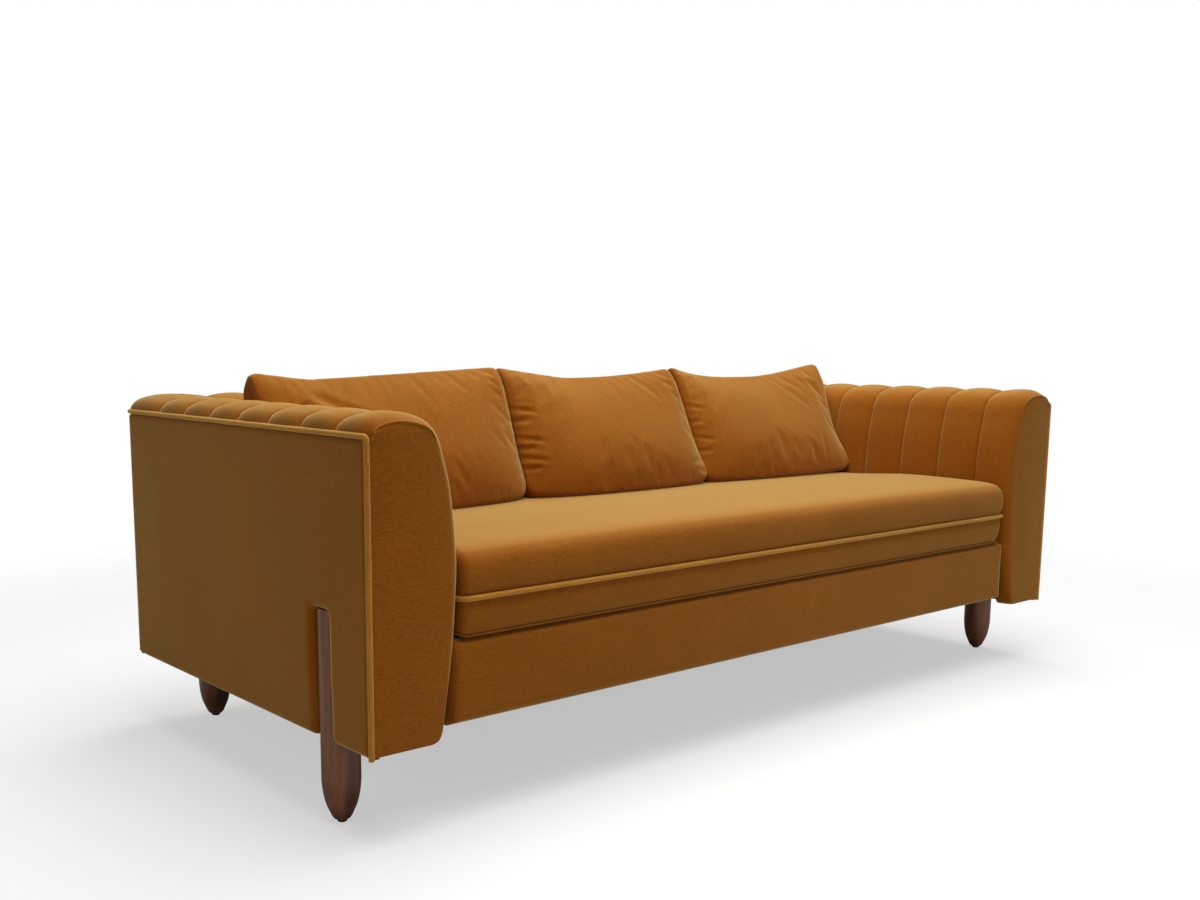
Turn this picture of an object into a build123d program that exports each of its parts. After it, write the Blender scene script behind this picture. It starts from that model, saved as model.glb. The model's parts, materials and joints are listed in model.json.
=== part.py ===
from build123d import *

import os
from math import cos, pi, sqrt

# Three-seat sofa: channelled arms and back on a hardwood frame, a bench seat cushion, three loose back
# cushions and round timber legs. Millimetres, +Z up, the front faces -Y, with the origin on the floor
# under the middle.

# Overall form
overall_width = 2134.0
overall_depth = 965.0
body_bottom = 157.0
edge_height = 692.0
clearance = 0.3
cut_overrun = 1.0

# Welt cord sewn round the outside edges
welt_radius = 5.0
welt_inset = 2.0
welt_corner_radius = 5.5
welt_proud = welt_radius - welt_inset
panel_thickness = welt_radius + welt_inset + clearance
outer_x = overall_width / 2 - welt_proud
front_y = -overall_depth / 2 + welt_proud
rear_y = overall_depth / 2 - welt_proud

# Padding section, as (distance in from the outside face, height): the sewn seams, then the channel crests
seam_top = (62.0, 712.0)
seam_shoulder_start = (118.0, 700.0)
seam_shoulder = (136.5, 684.0)
seam_shoulder_end = (146.0, 660.0)
seam_inside = (168.0, 561.0)
seam_bulge = (173.0, 460.0)
seam_tuck = (171.5, 395.0)
channel_swell_top = 17.0
channel_swell_side = 14.0
shoulder_top_shares = (0.75, 0.55, 0.3)
shoulder_fullness = 0.55
edge_tuck = 3.0
edge_swell = 4.0
pad_bottom = 330.0
pad_underside = 640.0
pad_back = 100.0
tuck_taper = 8.0

# Channels
arm_channel_count = 7
first_seam = 104.0
last_seam = 805.0
back_channel_count = 16
back_first_seam = 155.0
channel_facets = 6
corner_rise = 0.4
front_puffs = (0.7, 0.93, 1.0, 0.75)

# Arm front facing
facing_thickness = 30.0
facing_foot = 143.0
facing_waist = (155.0, 250.0)
facing_round = 22.0
facing_puff = 0.35

# Wooden frame
board = 4.0
post_inner = pad_back - board
top_rail_height = 38.0
bottom_rail_height = 22.0
bottom_rail_gap = 3.0
post_depth = 58.0
upright_width = 50.0
upright_count = 3
rail_thickness = 32.0
base_bottom = 190.0
base_top = 318.0
stretcher_count = 2
corner_block_leg = 90.0
dust_sheet = 1.0

# Legs
leg_radius = 35.0
leg_inset = 36.0
front_leg_setback = 157.5
rear_leg_inset = 150.0
rear_leg_setback = 58.0
leg_round_height = 85.0
glide_height = 4.0
glide_radius = 9.0
glide_chamfer = 1.5
leg_flat = 30.0
leg_curve_points = 7
leg_foot_slope = 0.25
slot_width = 57.0
slot_top = 387.0
slot_corner = 9.0
liner_thickness = 4.0
leg_post_width = 116.0
leg_plate_size = 60.0
leg_plate_thickness = 2.0
bolt_radius = 4.0
bolt_head_radius = 7.0
bolt_head_height = 5.0
bolt_depth = 34.0
leg_bolt_end_gap = 60.0
arm_bolt_drop = 25.0
bolt_edge_gap = 2.0

# Seat springs and deck
spring_count = 12
spring_wire = 1.9
spring_bend = 14.0
spring_straight = 26.0
clip_length = 18.0
clip_width = 12.0
clip_height = 7.6
deck_thickness = 6.0
rail_pad_setback = 12.0
rail_pad_thickness = 29.0
rail_pad_bottom = 178.0
rail_pad_side_gap = 172.0
rail_pad_round = 13.0

# Seat cushion
seat_front = 8.0
seat_side_gap = 4.0
seat_height_middle = 150.0
seat_crown = 13.0
seat_crown_fade = 0.5
seat_front_roll = 40.0
seat_roll_drop = 8.0
seat_rest_margin = 40.0
seat_rear_round = 16.0
seat_toe = 14.0
seat_welt_rise = 70.5
seat_upper_swell = 9.0
seat_upper_rise = 10.0
seat_lower_swell = 2.0
seat_lower_drop = 8.0
seat_rear_swell = 3.0
seat_end_length = 60.0
seat_end_steps = (0.5, 0.85, 1.0)
seat_end_fade = 0.6
seat_pull = 20.0
seat_foot_pull = 0.5
cover_wall = 9.0
insert_gap = 0.6

# Back cushions, with their depths measured in from the rear
back_count = 3
back_gap = 4.0
back_foot = 459.0
back_tip = 275.0
back_end_front = 399.0
back_end_rear = 309.0
back_height = 266.0
back_sections = 10
back_core_height = 106.0
ear_rise = 26.0
ear_radius = 10.0
ear_tip_rise = 8.0
front_swell = 30.0
rear_swell = 14.0
end_swell_share = 0.3

# Zips
zip_groove = 6.0
zip_tape_width = 26.0
zip_tape = 1.2
zip_chain_width = 6.0
zip_chain = 1.6
slider_length = 14.0
slider_width = 12.0
slider_height = 3.4
pull_length = 24.0
pull_width = 6.0
pull_thickness = 1.2
back_zip_setback = 20.0
seat_zip_length = 1300.0
back_zip_length = 400.0

nodes = {}


def block(x, y, z):
    """A box from three (low, high) pairs."""
    size = [high - low for low, high in (x, y, z)]
    centre = [(high + low) / 2 for low, high in (x, y, z)]
    return Pos(*centre) * Box(*size)


def rod(start, direction, radius, length):
    """A round rod from a start point along a direction."""
    return Solid.make_cylinder(radius, length, Plane(origin=start, z_dir=direction))


def add(name, *solids):
    nodes[name] = list(solids)


def add_pair(name, *solids):
    """Adds right-hand solids under right_NAME and their mirror images under left_NAME."""
    nodes["right_" + name] = list(solids)
    nodes["left_" + name] = [mirror(solid, about=Plane.YZ) for solid in solids]


def both_sides(*solids):
    return [*solids, *(mirror(solid, about=Plane.YZ) for solid in solids)]


def in_from_side(distance):
    return outer_x - distance


def back_from_front(distance):
    return front_y + distance


def in_from_rear(distance):
    return rear_y - distance


# Padding section


def swollen(point, puff, top_share):
    """A seam point moved out towards the crest of its channel."""
    side = channel_swell_side * puff * (1 - top_share)
    return (point[0] + side + shoulder_fullness * channel_swell_side * puff * top_share * (1 - top_share),
            point[1] + channel_swell_top * puff * top_share)


def crest_points(puff):
    """The padding's outside line from the welt over the crown and down the inside, for a puff from 0 to 1."""
    start = (panel_thickness + clearance, edge_height + edge_tuck + edge_swell * puff)
    top = swollen(seam_top, puff, 1.0)
    shoulder_seams = (seam_shoulder_start, seam_shoulder, seam_shoulder_end)
    shoulder_start, shoulder, shoulder_end = [
        swollen(seam, puff, share) for seam, share in zip(shoulder_seams, shoulder_top_shares)
    ]
    inside = swollen(seam_inside, puff, 0.0)
    bulge = swollen(seam_bulge, puff, 0.0)
    tuck = swollen(seam_tuck, puff, 0.0)
    foot = (bulge[0] - tuck_taper, pad_bottom)
    return [(start, top, shoulder_start), (shoulder_start, shoulder, shoulder_end),
            (shoulder_end, inside, bulge), (bulge, tuck, foot)]


def closed_wire(arcs, corners, place):
    """A wire through arcs and then straight corners, each (in, height) pair put in space by place."""
    edges = [ThreePointArc(*(place(point) for point in arc)) for arc in arcs]
    stops = [arcs[-1][2], *corners, arcs[0][0]]
    edges += [Line(place(a), place(b)) for a, b in zip(stops, stops[1:])]
    return Wire(edges)


def pad_wire(puff, place):
    back = pad_back + clearance
    hollow = [(back, pad_bottom), (back, pad_underside), (panel_thickness + clearance, pad_underside)]
    return closed_wire(crest_points(puff), hollow, place)


def channel_stations(seams):
    """(position, puff) pairs along a row of channels between its seams."""
    stations = [(seams[0], 0.0)]
    for low, high in zip(seams, seams[1:]):
        for step in range(1, channel_facets + 1):
            share = step / channel_facets
            stations.append((low + (high - low) * share, 1 - (2 * share - 1) ** 2))
    return stations


def spaced(first, last, count):
    return [first + (last - first) * i / (count - 1) for i in range(count)]


def corner_stations(last_seam_position, end):
    """The plain corner beyond the last seam, swelling back to the crest."""
    rise = (end - last_seam_position) * corner_rise
    steps = channel_facets // 2
    rising = [(last_seam_position + rise * i / steps, 1 - (1 - i / steps) ** 2) for i in range(1, steps + 1)]
    return rising + [(end, 1.0)]


def mitre_cutter(sign):
    """A large wedge at the right rear corner, on the arm's (+1) or the back's (-1) side of the diagonal."""
    reach = overall_depth
    corner = (outer_x, rear_y)
    shift = -sign * clearance / 2
    far = (corner[0] - reach, corner[1] - reach)
    turn = (corner[0] + reach, corner[1] - reach) if sign < 0 else (corner[0] - reach, corner[1] + reach)
    points = [(corner[0] + reach, corner[1] + reach), far, turn]
    face = make_face(Polyline(*[(x - shift, y + shift) for x, y in points], close=True))
    return extrude(face, amount=edge_height * 2, dir=(0, 0, 1))


def arm_pad():
    front = facing_thickness + clearance
    depth = rear_y - front_y
    seams = spaced(first_seam, last_seam, arm_channel_count)
    middle = (front + first_seam) / 2
    places = (front, (front + middle) / 2, middle, (middle + first_seam) / 2)
    stations = list(zip(places, front_puffs))
    stations += channel_stations(seams) + corner_stations(last_seam, depth)
    wires = []
    for distance, puff in stations:
        y = back_from_front(distance)
        wires.append(pad_wire(puff, lambda p, y=y: (in_from_side(p[0]), y, p[1])))
    return Solid.make_loft(wires, ruled=True) - mitre_cutter(1)


def back_pad():
    width = 2 * outer_x
    seams = spaced(back_first_seam, width - back_first_seam, back_channel_count + 1)
    corner = corner_stations(back_first_seam, 0.0)
    stations = corner[::-1] + channel_stations(seams)
    stations += [(width - distance, puff) for distance, puff in corner]
    wires = []
    for distance, puff in stations:
        x = distance - outer_x
        wires.append(pad_wire(puff, lambda p, x=x: (x, in_from_rear(p[0]), p[1])))
    cutter = mitre_cutter(-1)
    return Solid.make_loft(wires, ruled=True) - cutter - mirror(cutter, about=Plane.YZ)


def arm_facing():
    """The covered board on the front of the arm, rounded to the inside."""
    arcs = crest_points(facing_puff)
    foot_top = arcs[-1][2]
    arcs.append((foot_top, facing_waist, (facing_foot, body_bottom)))
    edge = panel_thickness + clearance
    wire = closed_wire(arcs, [(edge, body_bottom)], lambda p: (in_from_side(p[0]), front_y, p[1]))
    solid = Solid(extrude(Face(wire), amount=facing_thickness, dir=(0, 1, 0)).wrapped)
    front_edges = solid.edges().filter_by_position(Axis.Y, front_y - clearance, front_y + clearance)
    rounded = [e for e in front_edges if e.geom_type == GeomType.CIRCLE and e.center().Z < seam_shoulder[1]]
    return solid.fillet(facing_round, rounded)


def outer_arm_panel():
    """The flat outside of the arm, notched from below for the front leg."""
    top = edge_height - panel_thickness
    panel = block((in_from_side(panel_thickness), outer_x), (front_y + panel_thickness, rear_y),
                  (body_bottom, top))
    middle = back_from_front(front_leg_setback)
    slot = block((in_from_side(panel_thickness) - cut_overrun, outer_x + cut_overrun),
                 (middle - slot_width / 2, middle + slot_width / 2), (body_bottom - cut_overrun, slot_top))
    slot = fillet(slot.edges().filter_by(Axis.X).group_by(Axis.Z)[-1], slot_corner)
    return panel - slot


def outside_welt():
    """One cord up each front corner and round the top edge of the arms and back."""
    x = outer_x - welt_inset
    y = (front_y + welt_inset, rear_y - welt_inset)
    z = (body_bottom, edge_height - welt_inset)
    points = [(-x, y[0], z[0]), (-x, y[0], z[1]), (-x, y[1], z[1]), (x, y[1], z[1]), (x, y[0], z[1]),
              (x, y[0], z[0])]
    path = FilletPolyline(*points, radius=welt_corner_radius)
    return sweep(Plane(origin=points[0], z_dir=(0, 0, 1)) * Circle(welt_radius), path=path)


def upholster_frame():
    add_pair("arm_channel_pad", arm_pad())
    add_pair("arm_facing", arm_facing())
    add_pair("outer_arm_panel", outer_arm_panel())
    add("back_channel_pad", back_pad())
    inner = in_from_side(panel_thickness + clearance)
    add("back_outer_panel", block((-inner, inner), (in_from_rear(panel_thickness), rear_y),
                                  (body_bottom, edge_height - panel_thickness)))
    add("outside_welt", outside_welt())


# Wooden frame

hollow_start = panel_thickness + clearance
rail_top = pad_underside - clearance
rail_low = rail_top - top_rail_height
bottom_rail_low = body_bottom + bottom_rail_gap
bottom_rail_top = bottom_rail_low + bottom_rail_height
leg_post_outer = leg_inset + leg_flat + clearance
front_post_back = facing_thickness + clearance + post_depth
slot_front_wall = front_leg_setback - leg_radius - clearance
slot_rear_wall = front_leg_setback + leg_radius + clearance
rear_post_front = rear_y - post_inner
bolt_heights = (slot_top - leg_bolt_end_gap, body_bottom + leg_bolt_end_gap)
arm_bolt_height = base_top - arm_bolt_drop


def arm_frame():
    post_x = (in_from_side(post_inner), in_from_side(hollow_start))
    front = back_from_front(facing_thickness + clearance)
    post_y = (front, back_from_front(front_post_back))
    add("arm_front_posts", *both_sides(block(post_x, post_y, (bottom_rail_low, rail_low))))
    add_pair("arm_top_rail", block(post_x, (front, in_from_rear(hollow_start)), (rail_low, rail_top)))
    add_pair("arm_rear_post", block(post_x, (rear_post_front, in_from_rear(hollow_start)),
                                    (bottom_rail_top, rail_low)))
    rail_start = back_from_front(slot_rear_wall + liner_thickness + clearance)
    bottom = block(post_x, (rail_start, in_from_rear(hollow_start)), (bottom_rail_low, bottom_rail_top))
    add("arm_bottom_rails", *both_sides(bottom))
    lining = block((in_from_side(pad_back), in_from_side(post_inner)),
                   (front, in_from_rear(pad_back)), (bottom_rail_low, rail_top))
    add("arm_lining_boards", *both_sides(lining - arm_bolt_holes()))


def leg_post():
    """The upright that the front leg is bolted to."""
    middle = back_from_front(front_leg_setback)
    half = leg_post_width / 2
    post = block((in_from_side(post_inner), in_from_side(leg_post_outer)), (middle - half, middle + half),
                 (bottom_rail_top, rail_low))
    for z in bolt_heights:
        start = (in_from_side(post_inner), middle, z)
        post -= rod(start, (1, 0, 0), bolt_radius + clearance, post_inner)
        post -= rod(start, (1, 0, 0), bolt_head_radius + clearance, bolt_head_height + clearance)
    return post - arm_bolt_holes()


def slot_liner():
    """Covered boards round the leg's slot, open at the bottom and to the outside."""
    y = (back_from_front(slot_front_wall), back_from_front(slot_rear_wall))
    x = (in_from_side(leg_post_outer - clearance), in_from_side(hollow_start))
    outer = block(x, (y[0] - liner_thickness, y[1] + liner_thickness),
                  (body_bottom + clearance, slot_top + liner_thickness))
    return outer - block((x[0] - cut_overrun, x[1] + cut_overrun), y, (0, slot_top))


def arm_bolt_places():
    half = leg_post_width / 2 - bolt_head_radius - bolt_edge_gap
    middle = back_from_front(front_leg_setback)
    return [(middle - half, arm_bolt_height), (middle + half, arm_bolt_height)]


def arm_bolt_holes():
    """Clearance holes for the bolts that tie the arm to the seat base, right side."""
    inner = in_from_side(pad_back + rail_thickness) - cut_overrun
    length = pad_back + rail_thickness
    holes = [rod((inner, y, z), (1, 0, 0), bolt_radius + clearance, length) for y, z in arm_bolt_places()]
    return Part() + holes


def arm_bolts():
    inner = in_from_side(pad_back + rail_thickness)
    shank = pad_back + rail_thickness - leg_post_outer
    bolts = []
    for y, z in arm_bolt_places():
        head = rod((inner - bolt_head_height, y, z), (1, 0, 0), bolt_head_radius, bolt_head_height)
        nut = rod((inner + shank, y, z), (1, 0, 0), bolt_head_radius, bolt_head_height)
        bolts.append(head.fuse(rod((inner, y, z), (1, 0, 0), bolt_radius, shank), nut))
    return bolts


def back_frame():
    inner = in_from_side(post_inner) - clearance
    depth = (in_from_rear(post_inner), in_from_rear(hollow_start))
    add("back_top_rail", block((-inner, inner), depth, (rail_low, rail_top)))
    bottom = block((-inner, inner), depth, (bottom_rail_low, bottom_rail_top))
    for sign in (-1, 1):
        x, y = rear_leg_place(sign)
        bottom -= rod((x, y, 0), (0, 0, 1), bolt_radius + clearance, bottom_rail_top + cut_overrun)
    add("back_bottom_rail", bottom)
    half = upright_width / 2
    places = spaced(-inner / 2, inner / 2, upright_count)
    add("back_uprights", *[block((x - half, x + half), depth, (bottom_rail_top, rail_low)) for x in places])
    side = in_from_side(pad_back) - clearance
    add("back_lining_board", block((-side, side), (in_from_rear(pad_back), in_from_rear(post_inner)),
                                   (bottom_rail_low, rail_top)))


def seat_base():
    side_inner = in_from_side(pad_back + rail_thickness)
    side_outer = in_from_side(pad_back)
    front = back_from_front(rail_pad_setback + rail_pad_thickness)
    rear = in_from_rear(pad_back)
    height = (base_bottom, base_top)
    inside = (front + rail_thickness, rear - rail_thickness)
    add("front_rail", block((-side_outer, side_outer), (front, inside[0]), height))
    add("back_rail", block((-side_outer, side_outer), (inside[1], rear), height))
    add("side_rails", *both_sides(block((side_inner, side_outer), inside, height) - arm_bolt_holes()))
    half = rail_thickness / 2
    places = spaced(-side_inner / 3, side_inner / 3, stretcher_count)
    stretchers = [block((x - half, x + half), inside, (base_bottom, base_top - spring_bend)) for x in places]
    add("seat_stretchers", *stretchers)
    blocks = []
    for y, way in ((inside[0], 1), (inside[1], -1)):
        points = [(side_inner, y), (side_inner - corner_block_leg, y),
                  (side_inner, y + way * corner_block_leg)]
        face = Pos(0, 0, base_bottom + rail_thickness) * make_face(Polyline(*points, close=True))
        blocks.append(extrude(face, amount=rail_thickness, dir=(0, 0, 1)))
    add("corner_blocks", *both_sides(*blocks))
    sheet = block((-side_outer, side_outer), (front, rear), (base_bottom - dust_sheet, base_bottom))
    add("dust_sheet", sheet)


# Springs and deck

spring_height = base_top + clip_height / 2


def spring_ends():
    """Where the first and last bars of each spring lie, over the middles of the front and back rails."""
    front = back_from_front(rail_pad_setback + rail_pad_thickness) + rail_thickness / 2
    rear = in_from_rear(pad_back) - rail_thickness / 2
    return front, rear


def sinuous_spring(x):
    front, rear = spring_ends()
    bars = 2 * round((rear - front) / (4 * spring_bend)) + 1
    pitch = (rear - front) / (bars - 1)
    half = spring_straight / 2
    edges = []
    for i in range(bars):
        y = front + pitch * i
        way = 1 if i % 2 == 0 else -1
        edges.append(Line((x - way * half, y, spring_height), (x + way * half, y, spring_height)))
        if i < bars - 1:
            bend = (x + way * (half + pitch / 2), y + pitch / 2, spring_height)
            edges.append(ThreePointArc(edges[-1] @ 1, bend, (x + way * half, y + pitch, spring_height)))
    path = Wire(edges)
    return sweep(Plane(origin=path @ 0, z_dir=path % 0) * Circle(spring_wire), path=path)


def spring_clip(x, y):
    body = block((x - clip_length / 2, x + clip_length / 2), (y - clip_width / 2, y + clip_width / 2),
                 (base_top, base_top + clip_height))
    start = (x - clip_length, y, spring_height)
    return body - rod(start, (1, 0, 0), spring_wire + clearance, 2 * clip_length)


deck_bottom = base_top + clip_height + clearance
deck_top = deck_bottom + deck_thickness


def suspension():
    side = in_from_side(pad_back + rail_thickness) - spring_straight - spring_bend
    places = spaced(-side, side, spring_count)
    add("seat_springs", *[sinuous_spring(x) for x in places])
    add("spring_clips", *[spring_clip(x, y) for x in places for y in spring_ends()])
    tuck = seam_bulge[0] + channel_swell_side
    x = in_from_side(tuck) - clearance
    y = (back_from_front(rail_pad_setback + rail_pad_thickness) + clearance, in_from_rear(tuck) - clearance)
    deck = block((-x, x), y, (deck_bottom, deck_top))
    add("deck_pad", fillet(deck.edges().filter_by(Axis.Z), rail_pad_round))
    x = in_from_side(rail_pad_side_gap)
    y = (back_from_front(rail_pad_setback), back_from_front(rail_pad_setback + rail_pad_thickness))
    pad = block((-x, x), y, (rail_pad_bottom, pad_bottom - clearance))
    edges = pad.faces().sort_by(Axis.Y)[0].edges()
    add("front_rail_pad", fillet(edges, rail_pad_round))


# Legs


def rear_leg_place(sign):
    return sign * in_from_side(rear_leg_inset), in_from_rear(rear_leg_setback)


def turned_leg(top):
    """A round leg with a half-ellipse foot, cut off where the glide sits."""
    sink = leg_round_height * (1 - sqrt(1 - (glide_radius / leg_radius) ** 2))
    shoulder = glide_height - sink + leg_round_height
    start = (glide_radius, 0, glide_height)
    curve = Spline(*[
        (leg_radius * sqrt(1 - ((shoulder - z) / leg_round_height) ** 2), 0, z)
        for z in spaced(glide_height, shoulder, leg_curve_points)
    ], tangents=[(1, 0, leg_foot_slope), (0, 0, 1)])
    corners = [(leg_radius, 0, shoulder), (leg_radius, 0, top), (0, 0, top), (0, 0, glide_height), start]
    edges = [curve, *(Line(a, b) for a, b in zip(corners, corners[1:]))]
    return Solid(revolve(Face(Wire(edges)), axis=Axis.Z).wrapped)


def glide():
    disc = Solid.make_cylinder(glide_radius, glide_height)
    return disc.chamfer(glide_chamfer, glide_chamfer, disc.edges().group_by(Axis.Z)[0])


def front_leg():
    """The leg stands in the arm's slot, with a flat against its post."""
    place = (in_from_side(leg_inset), back_from_front(front_leg_setback))
    leg = Pos(*place, 0) * turned_leg(slot_top - clearance)
    flat_face = in_from_side(leg_inset + leg_flat)
    leg -= block((flat_face - leg_radius, flat_face), (place[1] - leg_radius, place[1] + leg_radius),
                 (body_bottom + bottom_rail_height, slot_top))
    for z in bolt_heights:
        leg -= rod((flat_face - cut_overrun, place[1], z), (1, 0, 0), bolt_radius + clearance,
                   bolt_depth + cut_overrun + clearance)
    return leg


def front_leg_bolts():
    y = back_from_front(front_leg_setback)
    start = in_from_side(post_inner) + clearance
    shank = in_from_side(leg_inset + leg_flat) + bolt_depth - start
    bolts = []
    for z in bolt_heights:
        head = rod((start, y, z), (1, 0, 0), bolt_head_radius, bolt_head_height - clearance)
        bolts.append(head.fuse(rod((start, y, z), (1, 0, 0), bolt_radius, shank)))
    return bolts


rear_leg_top = bottom_rail_low - leg_plate_thickness


def rear_leg():
    x, y = rear_leg_place(1)
    leg = Pos(x, y, 0) * turned_leg(rear_leg_top)
    return leg - rod((x, y, rear_leg_top - bolt_depth - clearance), (0, 0, 1), bolt_radius + clearance,
                     bolt_depth + cut_overrun)


def leg_plate():
    x, y = rear_leg_place(1)
    half = leg_plate_size / 2
    plate = block((x - half, x + half), (y - half / 2, y + half / 2), (rear_leg_top, bottom_rail_low))
    return plate - rod((x, y, 0), (0, 0, 1), bolt_radius + clearance, bottom_rail_top)


def hanger_bolt():
    x, y = rear_leg_place(1)
    low = rear_leg_top - bolt_depth
    shank = rod((x, y, low), (0, 0, 1), bolt_radius, bottom_rail_top - low)
    return shank.fuse(rod((x, y, bottom_rail_top), (0, 0, 1), bolt_head_radius, bolt_head_height))


def legs():
    front = front_leg()
    rear = rear_leg()
    nodes["front_right_leg"] = [front]
    nodes["front_left_leg"] = [mirror(front, about=Plane.YZ)]
    nodes["rear_right_leg"] = [rear]
    nodes["rear_left_leg"] = [mirror(rear, about=Plane.YZ)]
    front_place = (in_from_side(leg_inset), back_from_front(front_leg_setback), 0)
    glides = [Pos(*front_place) * glide(), Pos(*rear_leg_place(1), 0) * glide()]
    add("leg_glides", *both_sides(*glides))
    add("leg_posts", *both_sides(leg_post()))
    add("leg_slot_liners", *both_sides(slot_liner()))
    add("front_leg_bolts", *both_sides(*front_leg_bolts()))
    add("rear_leg_plates", *both_sides(leg_plate()))
    add("rear_leg_bolts", *both_sides(hanger_bolt()))
    add("arm_bolts", *both_sides(*arm_bolts()))


# Zips, made along X with the outside of the cover towards +Z


def zip_tape_solid(length):
    tape = block((-length / 2, length / 2), (-zip_tape_width / 2, zip_tape_width / 2), (0, zip_tape))
    chain = block((-length / 2, length / 2), (-zip_chain_width / 2, zip_chain_width / 2),
                  (zip_tape, zip_tape + zip_chain))
    return tape + chain


def zip_slider(length):
    """The slider at the closed end of its chain, with its pull lying flat along the chain."""
    low = zip_tape + clearance
    start = -length / 2 + slider_length
    end = start + slider_length
    high = low + slider_height
    body = block((start, end), (-slider_width / 2, slider_width / 2), (low, high))
    channel_half = zip_chain_width / 2 + clearance
    body -= block((start - cut_overrun, end + cut_overrun), (-channel_half, channel_half),
                  (low - cut_overrun, zip_tape + zip_chain + clearance))
    pull = block((end, end + pull_length), (-pull_width / 2, pull_width / 2), (high - pull_thickness, high))
    return body + pull


def zip_room(length):
    half_length = length / 2 + cut_overrun
    half_width = zip_tape_width / 2 + cut_overrun
    height = (-clearance, zip_groove + cover_wall)
    return block((-half_length, half_length), (-half_width, half_width), height)


# Cushions


def unchanged(point):
    return point


def drawn_towards(centre, size, margin):
    """A map that shrinks a form towards its centre by a margin on every side."""
    shares = [1 - 2 * margin / extent for extent in size]
    return lambda point: tuple(c + (p - c) * share for p, c, share in zip(point, centre, shares))


def section(stretches, fit):
    """A closed wire of lines (two points) and arcs (three points), put through a fit."""
    edges = []
    for stretch in stretches:
        points = [fit(point) for point in stretch]
        edges.append(ThreePointArc(*points) if len(points) == 3 else Line(*points))
    return Wire(edges)


def cover_and_insert(form, centre):
    """A cushion's cover as a shell, and the filled insert inside it."""
    outer = form(unchanged)
    extents = outer.bounding_box().size
    size = (extents.X, extents.Y, extents.Z)
    cavity = form(drawn_towards(centre, size, cover_wall))
    insert = form(drawn_towards(centre, size, cover_wall + insert_gap))
    return outer - cavity, insert


seat_bottom = deck_top + clearance
seat_top = seat_bottom + seat_height_middle
seat_welt_height = seat_bottom + seat_welt_rise
seat_half = in_from_side(seam_bulge[0] + channel_swell_side) - seat_side_gap
seat_rear = in_from_rear(seam_bulge[0] + channel_swell_side) - seat_side_gap


def seat_wire(x, pull, crown, fit):
    """The seat cushion's side section at x, drawn in by pull at its ends."""
    front = back_from_front(seat_front) + pull
    rear = seat_rear - pull
    low = seat_bottom + pull * seat_foot_pull
    high = seat_top - pull
    middle = seat_welt_height
    roll = back_from_front(seat_front + seat_front_roll) + pull
    rest = in_from_rear(back_foot + seat_rest_margin)
    lower = (low + middle) / 2 - seat_lower_drop
    upper = (middle + high) / 2 + seat_upper_rise
    corners = [(front + seat_toe, low), (front, middle), (roll, high - seat_roll_drop), (rest, high),
               (rear - seat_rear_round, high), (rear, middle), (rear - seat_toe, low)]
    place = [(x, y, z) for y, z in corners]
    return section([
        (place[0], (x, front + seat_lower_swell, lower), place[1]),
        (place[1], (x, front + seat_upper_swell, upper), place[2]),
        (place[2], (x, (roll + rest) / 2, high + crown), place[3]),
        (place[3], place[4]),
        (place[4], (x, rear - seat_rear_swell, upper), place[5]),
        (place[5], (x, rear - seat_lower_swell, lower), place[6]),
        (place[6], place[0]),
    ], fit)


def seat_stations():
    """(x, pull, crown) from end to end, drawn in over the last stretch at each end."""
    plain = seat_half - seat_end_length
    outward = [(plain * share, 0.0, seat_crown * (1 - seat_crown_fade * share)) for share in (0.0, 0.5, 1.0)]
    for share in seat_end_steps:
        pull = seat_pull * (1 - sqrt(1 - share ** 2))
        crown = seat_crown * (1 - seat_crown_fade) * (1 - seat_end_fade * share)
        outward.append((plain + seat_end_length * share, pull, crown))
    return [(-x, pull, crown) for x, pull, crown in outward[:0:-1]] + outward


def seat_cushion():
    def form(fit):
        return Solid.make_loft([seat_wire(*station, fit) for station in seat_stations()], ruled=True)

    centre = (0, (back_from_front(seat_front) + seat_rear) / 2, seat_bottom + seat_height_middle / 2)
    cover, insert = cover_and_insert(form, centre)
    zip_place = Pos(0, seat_rear - zip_groove, seat_welt_height) * Rot(-90, 0, 0)
    half = seat_half - seat_end_length
    welt_y = back_from_front(seat_front) + welt_inset
    groove = rod((-half - cut_overrun, welt_y, seat_welt_height), (1, 0, 0), welt_radius + clearance,
                 2 * (half + cut_overrun))
    add("seat_cushion_cover", cover - groove - zip_place * zip_room(seat_zip_length))
    add("seat_cushion_insert", insert)
    add("seat_cushion_welt", rod((-half, welt_y, seat_welt_height), (1, 0, 0), welt_radius, 2 * half))
    add("seat_cushion_zip", zip_place * zip_tape_solid(seat_zip_length))
    add("seat_cushion_zip_slider", zip_place * zip_slider(seat_zip_length))


back_bottom = seat_top + clearance


def back_wire(x, share, fit):
    """A back cushion's side section; share runs from 0 in the middle to 1 at the side seams."""
    puff = sqrt(1 - share ** 2)
    front = in_from_rear(back_end_front + (back_foot - back_end_front) * puff)
    end = in_from_rear(back_end_rear)
    rear = end + (seat_rear - end) * puff
    top = back_bottom + back_height - ear_radius + ear_rise * share ** 2
    tip = in_from_rear(back_tip)
    middle = (back_bottom + top) / 2
    first = (x, tip + ear_radius, top)
    last = (x, tip - ear_radius, top)
    swell = end_swell_share + (1 - end_swell_share) * puff
    front_middle = (front + last[1]) / 2 - front_swell * swell
    rear_middle = (rear + first[1]) / 2 + rear_swell * swell
    return section([
        ((x, front, back_bottom), (x, rear, back_bottom)),
        ((x, rear, back_bottom), (x, rear_middle, middle), first),
        (first, (x, tip, top + ear_tip_rise), last),
        (last, (x, front_middle, middle), (x, front, back_bottom)),
    ], fit)


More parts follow.
